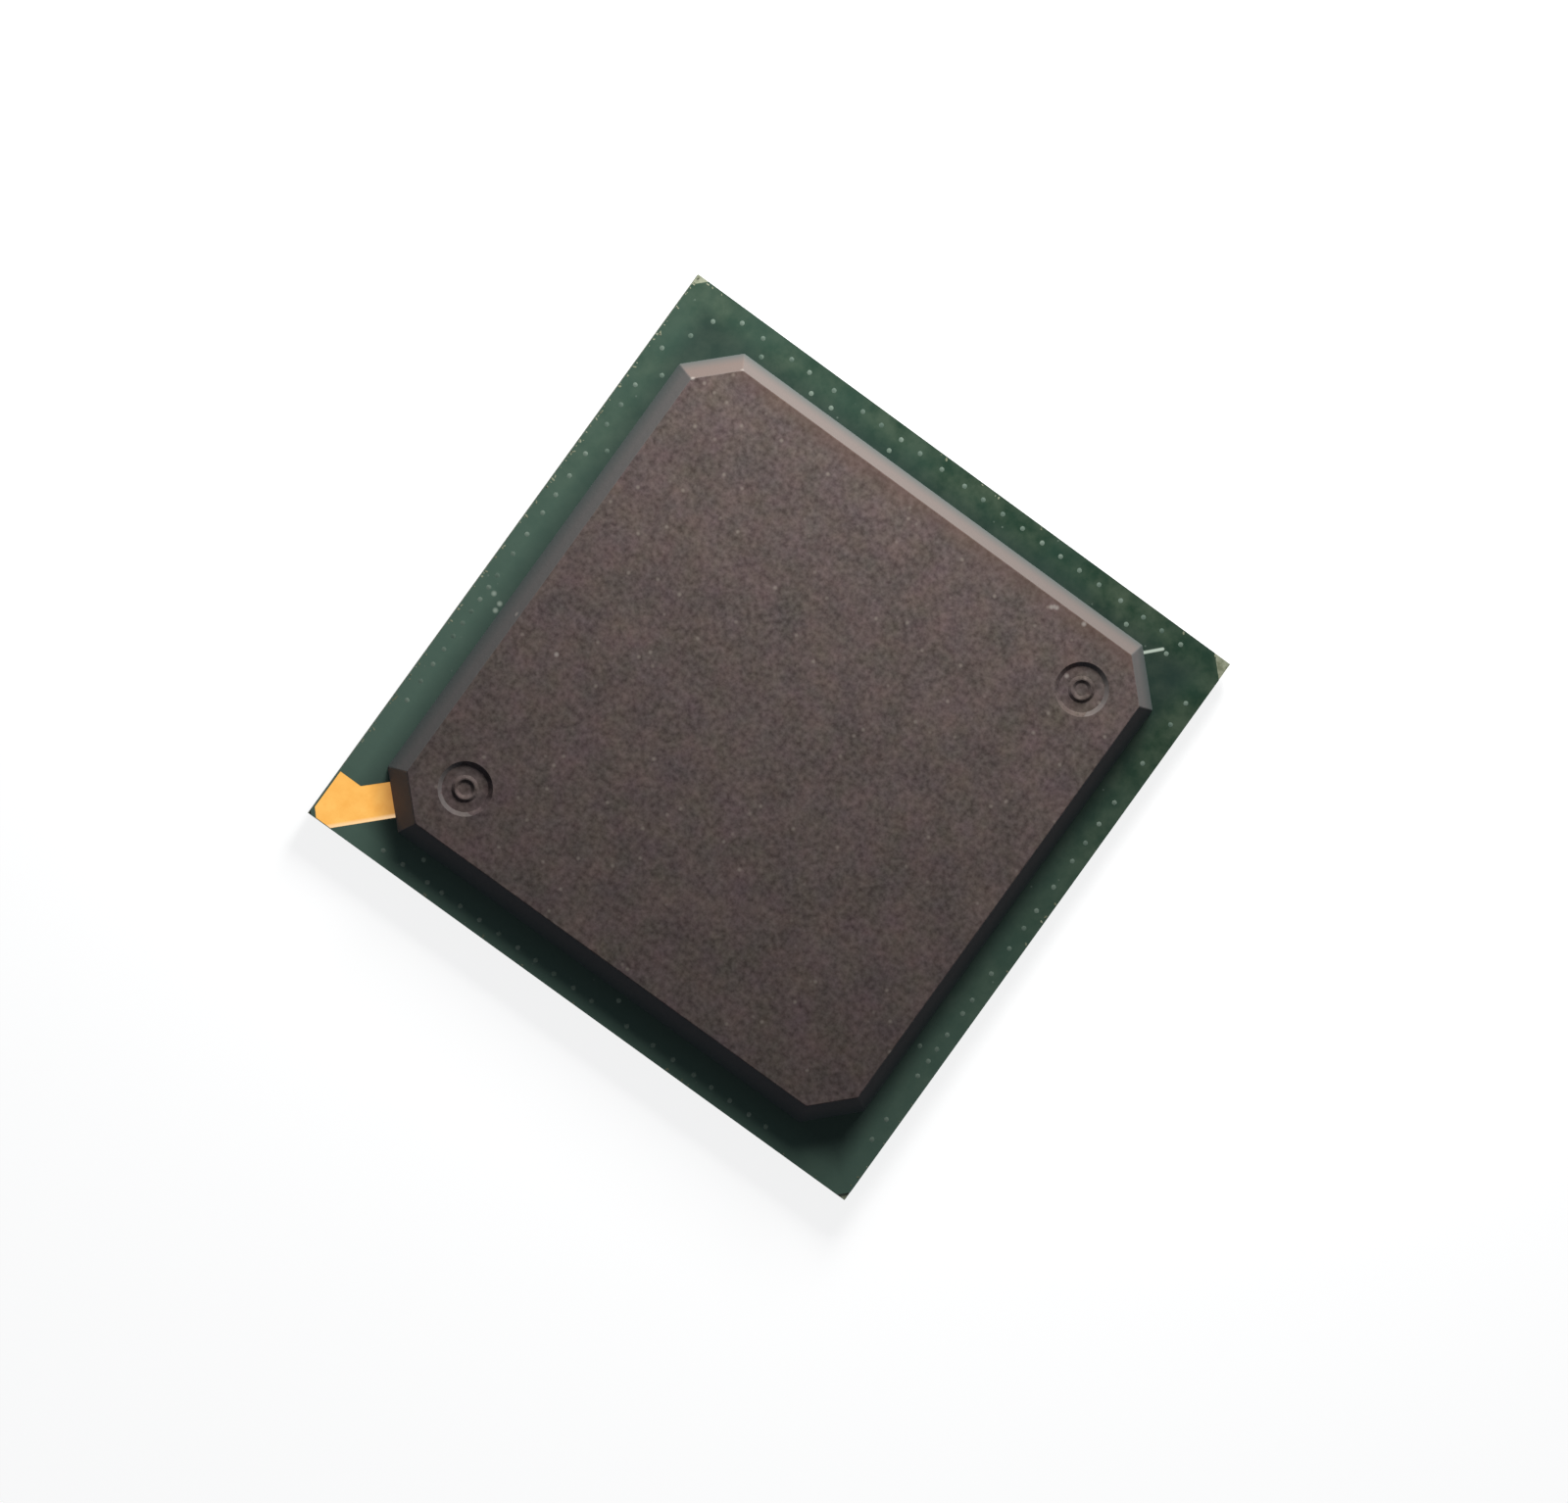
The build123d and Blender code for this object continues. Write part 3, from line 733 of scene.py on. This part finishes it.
class Slot(Enum):
    """The record's finishes, each with the recipe that makes it."""

    MOULD_COMPOUND = MouldCompound()
    SOLDER_MASK = SolderMask()
    LAMINATE = GlassLaminate()
    # Etched and plated copper: salmon, satin.
    COPPER = PlatedMetal("copper_plated", bright="#d08a63", dull="#b06c48", patch_mm=0.5,
                         smooth=0.28, rough=0.42, depth_mm=0.002)
    GOLD = GateGold("gold_plated", bright="#ffc266", dull="#f5b257", patch_mm=0.6,
                    smooth=0.26, rough=0.36, depth_mm=0.002)
    # Tin and lead, reflowed: silver-grey under a dull oxide, with faint cooling grain.
    SOLDER = PlatedMetal("solder_reflowed", bright="#a9aaa8", dull="#878987", patch_mm=0.12,
                         smooth=0.24, rough=0.38, depth_mm=0.003)
    # Polished silicon: dark grey and smooth.
    SILICON = FilledResin("silicon_polished", main="#4c4e55", second="#54565e", grain_mm=1.5,
                          roughness=0.18, depth_mm=0.0005)
    # Silver flakes in epoxy: pale grey glue.
    SILVER_EPOXY = FilledResin("silver_epoxy_cured", main="#a3a39d", second="#8d8d88",
                               grain_mm=0.08, roughness=0.45, depth_mm=0.004)
    # Hole-filling resin, cured and ground flush: chalky green, some plugs paler than others.
    PLUG_RESIN = FilledResin("plug_resin_ground", main="#6b796d", second="#43554a",
                             grain_mm=0.8, roughness=0.55, depth_mm=0.004)

    @property
    def label(self) -> str:
        """The slot's name in the record."""
        return self.name.lower()


class Finishes:
    """Makes each finish once and dresses the carried-over nodes in it."""

    def __init__(self) -> None:
        """Makes the materials."""
        self.made = {slot.label: slot.value.build() for slot in Slot}

    def of(self, slot: Slot) -> bpy.types.Material:
        """Gives the material of a slot."""
        return self.made[slot.label]

    def dress(self, nodes: dict[str, bpy.types.Object], record: dict) -> None:
        """Puts each node's material into its slots.

        Args:
            nodes: the carried-over objects by node name.
            record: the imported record, which names each node's slot.
        """
        for row in record["subparts"]:
            for place in nodes[row["node"]].material_slots:
                place.material = self.made[row["material_slot"]]
            LOG.info("%s dressed in %s", row["node"], row["material_slot"])


def keep_piece(name: str, shape: bmesh.types.BMesh, finishes: Finishes, slot: Slot,
               smooth: bool = False) -> bpy.types.Object:
    """Makes an object of a finished shape, and lets it ride on the part.

    Args:
        name: the piece's name.
        shape: its mesh, in metres, where it belongs. It is freed.
        finishes: the materials.
        slot: the slot that it takes its finish from.
        smooth: True for rounded pieces.

    Returns:
        The new object.
    """
    mesh = bpy.data.meshes.new(name)
    for face in shape.faces:
        face.smooth = smooth
    shape.to_mesh(mesh)
    shape.free()
    mesh.materials.append(finishes.of(slot))
    piece = bpy.data.objects.new(name, mesh)
    bpy.context.scene.collection.objects.link(piece)
    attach(piece, "root")
    LOG.info("%s: %d faces", name, len(mesh.polygons))
    return piece


@dataclass
class BallGrid:
    """The solder balls: 26 by 26 places, of which four rings and a middle block are filled."""

    columns: int = 26
    rim_rings: int = 4
    centre_columns: int = 8
    pitch_mm: float = 1.0
    diameter_mm: float = 0.63
    pad_height_mm: float = 0.53
    turns: int = 12
    bands: int = 8
    cut_tolerance_mm: float = 0.0003

    def one_ball(self) -> bpy.types.Mesh:
        """Makes one ball, standing on the ground at the origin and cut flat at its pad.

        Returns:
            Its mesh.
        """
        radius = self.diameter_mm / 2
        shape = bmesh.new()
        bmesh.ops.create_uvsphere(
            shape, u_segments=self.turns, v_segments=self.bands, radius=radius)
        bmesh.ops.translate(shape, verts=shape.verts, vec=(0, 0, radius))
        cut = bmesh.ops.bisect_plane(
            shape, geom=shape.verts[:] + shape.edges[:] + shape.faces[:],
            dist=self.cut_tolerance_mm, plane_co=(0, 0, self.pad_height_mm), plane_no=(0, 0, 1),
            clear_outer=True)
        rim = [item for item in cut["geom_cut"] if isinstance(item, bmesh.types.BMEdge)]
        bmesh.ops.edgeloop_fill(shape, edges=rim)
        bmesh.ops.recalc_face_normals(shape, faces=shape.faces)
        bmesh.ops.scale(shape, verts=shape.verts, vec=(MM, MM, MM))
        mesh = bpy.data.meshes.new("ball")
        shape.to_mesh(mesh)
        shape.free()
        return mesh

    def places(self, ring: int | None) -> list[tuple[float, float]]:
        """Lists the balls' places.

        Args:
            ring: the ring, counted inwards from 0, or None for the middle block.

        Returns:
            X and Y of each ball, in millimetres.
        """
        last = self.columns - 1
        inner = (self.columns - self.centre_columns) // 2
        found = []
        for column in range(self.columns):
            for row in range(self.columns):
                depth = min(column, row, last - column, last - row)
                if depth == ring or (ring is None and depth >= inner):
                    found.append(((column - last / 2) * self.pitch_mm,
                                  (row - last / 2) * self.pitch_mm))
        return found

    def build(self, finishes: Finishes) -> None:
        """Makes each group of balls over its node.

        Args:
            finishes: the materials.
        """
        ball = self.one_ball()
        groups = {f"ring_{ring + 1}": ring for ring in range(self.rim_rings)} | {"centre": None}
        for label, ring in groups.items():
            shape = bmesh.new()
            for across, along in self.places(ring):
                known = len(shape.verts)
                shape.from_mesh(ball)
                shape.verts.ensure_lookup_table()
                bmesh.ops.translate(shape, verts=shape.verts[known:],
                                    vec=(across * MM, along * MM, 0))
            piece = keep_piece(f"reflowed_balls_{label}", shape, finishes, Slot.SOLDER,
                               smooth=True)
            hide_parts(f"solder_balls_{label}")
        bpy.data.meshes.remove(ball)


@dataclass
class EdgeChips:
    """Chips along the board's sawn edges, where the mask broke away from the glass laminate."""

    half_side_mm: float = 13.5
    mask_top_mm: float = 1.06
    flake_thickness_mm: float = 0.007
    flake_sides: int = 6
    flake_reach_mm: float = 0.07
    flake_sizes: tuple[float, float] = (0.35, 1.0)
    corner_reaches: tuple[float, float] = (0.45, 1.25)
    lengths: tuple[float, float] = (1.0, 1.6)
    breadth: float = 0.8
    flake_margin_mm: float = 0.06
    # The edges are counted from +X, anticlockwise.
    left_edge: int = 2
    left_flakes: int = 90
    other_flakes: int = 12
    # No chips lie in the gate's corner, which has no mask.
    gate_reach_mm: float = 3.4
    seed: int = 7

    def flake(self, shape: bmesh.types.BMesh, draw: random.Random, across: float,
              along: float) -> None:
        """Adds one thin, ragged flake.

        Args:
            shape: the mesh that gets it.
            draw: the random source.
            across: its X in millimetres.
            along: its Y in millimetres.
        """
        size = self.flake_reach_mm * draw.uniform(*self.flake_sizes)
        made = bmesh.ops.create_circle(
            shape, cap_ends=True, segments=self.flake_sides, radius=size)
        for vertex in made["verts"]:
            vertex.co *= draw.uniform(*self.corner_reaches)
        turn = Matrix.Rotation(draw.uniform(0, math.tau), 3, "Z")
        bmesh.ops.scale(shape, verts=made["verts"],
                        vec=(draw.uniform(*self.lengths), self.breadth, 1))
        bmesh.ops.rotate(shape, verts=made["verts"], matrix=turn)
        limit = self.half_side_mm - self.flake_thickness_mm
        reach = max(max(abs(vertex.co.x), abs(vertex.co.y)) for vertex in made["verts"])
        across = max(reach - limit, min(limit - reach, across))
        along = max(reach - limit, min(limit - reach, along))
        bmesh.ops.translate(shape, verts=made["verts"], vec=(across, along, self.mask_top_mm))
        face = made["verts"][0].link_faces[0]
        raised = bmesh.ops.extrude_face_region(shape, geom=[face], use_keep_orig=True)
        lifted = [item for item in raised["geom"] if isinstance(item, bmesh.types.BMVert)]
        bmesh.ops.translate(shape, verts=lifted, vec=(0, 0, self.flake_thickness_mm))

    def build(self, finishes: Finishes) -> None:
        """Makes the chips along the four edges, most of them on the left one.

        Args:
            finishes: the materials.
        """
        draw = random.Random(self.seed)
        shape = bmesh.new()
        edge = self.half_side_mm - self.flake_margin_mm / 2
        for side in range(4):
            for _ in range(self.left_flakes if side == self.left_edge else self.other_flakes):
                in_by = edge - abs(draw.gauss(0, self.flake_margin_mm))
                spot = Matrix.Rotation(side * math.tau / 4, 2) @ Vector(
                    (in_by, draw.uniform(-edge, edge)))
                if spot.x + spot.y > self.gate_reach_mm - 2 * self.half_side_mm:
                    self.flake(shape, draw, spot.x, spot.y)
        bmesh.ops.recalc_face_normals(shape, faces=shape.faces)
        bmesh.ops.scale(shape, verts=shape.verts, vec=(MM, MM, MM))
        keep_piece("edge_chips", shape, finishes, Slot.LAMINATE)


@dataclass
class Studio:
    """The pale floor, the white surroundings, one soft lamp and the camera."""

    floor_half_side_mm: float = 3000.0
    floor_colour: str = "#f2f2f0"
    floor_share: float = 0.35
    floor_glow: float = 0.86
    seen_colour: str = "#ffffff"
    fill_colour: str = "#404650"
    lamp_turn_deg: float = 107.0
    lamp_height_deg: float = 30.0
    lamp_distance_mm: float = 62.0
    lamp_side_mm: float = 26.0
    lamp_watts: float = 0.067
    lens_mm: float = 200.0
    aim_mm: tuple[float, float, float] = (0.72, -0.14, 1.06)
    camera_turn_deg: float = -157.0
    camera_height_deg: float = 84.0
    camera_distance_mm: float = 354.6
    roll_deg: float = 102.93

    def seen_share(self, tree: bpy.types.NodeTree) -> bpy.types.NodeSocket:
        """Tells what the camera, a gloss or a clear piece sees from other light.

        Args:
            tree: the node tree that gets the nodes.

        Returns:
            1 for what is seen, and 0 for other light.
        """
        path = add_node(tree, "ShaderNodeLightPath")
        direct = add_node(tree, "ShaderNodeMath", {
            0: path.outputs["Is Camera Ray"], 1: path.outputs["Is Glossy Ray"]},
            operation="MAXIMUM")
        return add_node(tree, "ShaderNodeMath", {
            0: direct.outputs[0], 1: path.outputs["Is Transmission Ray"]},
            operation="MAXIMUM").outputs[0]

    def build_floor(self) -> None:
        """Lays the floor, which looks white and keeps the part's shadow."""
        shape = bmesh.new()
        bmesh.ops.create_grid(
            shape, x_segments=1, y_segments=1, size=self.floor_half_side_mm * MM)
        mesh = bpy.data.meshes.new("floor")
        shape.to_mesh(mesh)
        shape.free()
        material = bpy.data.materials.new("floor_paper")
        material.use_nodes = True
        tree = material.node_tree
        tree.nodes.clear()
        colour = [part * self.floor_share for part in linear(self.floor_colour)[:3]]
        paper = add_node(tree, "ShaderNodeBsdfDiffuse", {"Color": (*colour, 1.0)})
        strength = add_node(tree, "ShaderNodeMath", {
            0: self.seen_share(tree), 1: self.floor_glow}, operation="MULTIPLY")
        glow = add_node(tree, "ShaderNodeEmission", {"Strength": strength.outputs[0]})
        both = add_node(tree, "ShaderNodeAddShader", {0: paper.outputs[0], 1: glow.outputs[0]})
        add_node(tree, "ShaderNodeOutputMaterial", {"Surface": both.outputs[0]})
        mesh.materials.append(material)
        floor = bpy.data.objects.new("floor", mesh)
        bpy.context.scene.collection.objects.link(floor)

    def build_world(self) -> None:
        """Makes the surroundings: white where they are seen, and a weak fill light elsewhere."""
        world = bpy.data.worlds.new("studio")
        world.use_nodes = True
        tree = world.node_tree
        tree.nodes.clear()
        colour = add_node(tree, "ShaderNodeMix", {
            MIX_FACTOR: self.seen_share(tree), MIX_FIRST: linear(self.fill_colour),
            MIX_SECOND: linear(self.seen_colour)}, data_type="RGBA")
        light = add_node(tree, "ShaderNodeBackground", {"Color": colour.outputs[MIX_RESULT]})
        add_node(tree, "ShaderNodeOutputWorld", {"Surface": light.outputs[0]})
        bpy.context.scene.world = world

    @staticmethod
    def way(turn_deg: float, height_deg: float) -> Vector:
        """Gives a direction.

        Args:
            turn_deg: how far it is turned from +X.
            height_deg: how far it is raised above level.

        Returns:
            The direction, one long.
        """
        turn, height = math.radians(turn_deg), math.radians(height_deg)
        return Vector((math.cos(turn) * math.cos(height), math.sin(turn) * math.cos(height),
                       math.sin(height)))

    def build_lamp(self) -> None:
        """Hangs the soft lamp behind the part."""
        way = self.way(self.lamp_turn_deg, self.lamp_height_deg)
        lamp = bpy.data.lights.new("soft_lamp", "AREA")
        lamp.shape = "SQUARE"
        lamp.size = self.lamp_side_mm * MM
        lamp.energy = self.lamp_watts
        holder = bpy.data.objects.new("soft_lamp", lamp)
        holder.location = way * self.lamp_distance_mm * MM
        holder.rotation_mode = "QUATERNION"
        holder.rotation_quaternion = (-way).to_track_quat("-Z", "Y")
        holder.visible_camera = False
        bpy.context.scene.collection.objects.link(holder)

    def build_camera(self) -> None:
        """Sets the camera at the photograph's place."""
        data = bpy.data.cameras.new("camera")
        data.lens = self.lens_mm
        data.clip_start = MM
        holder = bpy.data.objects.new("camera", data)
        way = self.way(self.camera_turn_deg, self.camera_height_deg)
        holder.location = (Vector(self.aim_mm) + way * self.camera_distance_mm) * MM
        holder.rotation_mode = "QUATERNION"
        holder.rotation_quaternion = (-way).to_track_quat("-Z", "Y") @ Quaternion(
            (0, 0, 1), math.radians(self.roll_deg))
        bpy.context.scene.collection.objects.link(holder)
        bpy.context.scene.camera = holder

    def build(self) -> None:
        """Makes all of the studio."""
        self.build_floor()
        self.build_world()
        self.build_lamp()
        self.build_camera()
        bpy.context.scene.view_settings.view_transform = "Standard"
        LOG.info("studio built")


def main() -> None:
    """Loads the part, dresses it, adds its small pieces and sets the studio."""
    logging.basicConfig(level=logging.INFO)
    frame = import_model()
    finishes = Finishes()
    finishes.dress(frame["nodes"], frame["record"])
    BallGrid().build(finishes)
    EdgeChips().build(finishes)
    Studio().build()
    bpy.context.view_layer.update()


if __name__ == "__main__":
    main()
